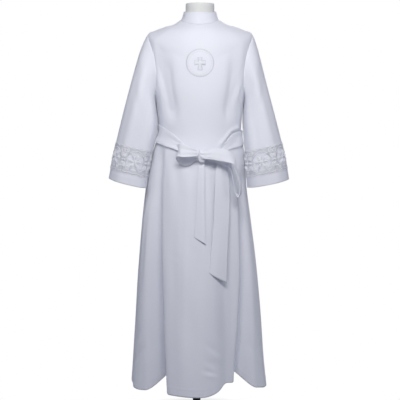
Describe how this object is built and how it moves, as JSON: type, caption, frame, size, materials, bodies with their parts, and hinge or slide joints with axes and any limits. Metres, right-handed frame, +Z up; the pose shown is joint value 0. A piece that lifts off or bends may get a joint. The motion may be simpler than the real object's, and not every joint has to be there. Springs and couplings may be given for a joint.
{
  "type": "baptismal robe on a dress form",
  "caption": "Child's white baptismal robe with stand collar, bell sleeves, lace bands and a tied sash, filled out on a limbless dress form.",
  "frame": {"origin": "centre of the base's underside, on the floor", "axes": "+Z up, the robe's front towards -Y, +X to the right of a viewer who faces the front"},
  "size_m": [0.516, 0.3608, 1.23],
  "materials": {
    "robe_cloth": "matte white woven cloth with a slight sheen",
    "lace": "white guipure lace",
    "embroidery": "white satin stitch on cloth",
    "form_cover": "pale ivory jersey stretched over the form",
    "stand_paint": "satin black paint"
  },
  "bodies": {
    "root": {"robe_front": "robe_cloth", "robe_back_right": "robe_cloth", "robe_back_left": "robe_cloth", "collar": "robe_cloth", "sleeve_left": "robe_cloth", "sleeve_right": "robe_cloth", "sash_band": "robe_cloth", "sash_knot": "robe_cloth", "bow_left": "robe_cloth", "bow_right": "robe_cloth", "tail_long": "robe_cloth", "tail_short": "robe_cloth", "button_1": "robe_cloth", "button_2": "robe_cloth", "button_3": "robe_cloth", "button_4": "robe_cloth", "button_5": "robe_cloth", "lace_left_front": "lace", "lace_left_back": "lace", "lace_right_front": "lace", "lace_right_back": "lace", "emblem_patch": "embroidery", "emblem_cross": "embroidery", "form_torso": "form_cover", "stand_base": "stand_paint", "stand_pole": "stand_paint"}
  },
  "joints": []
}
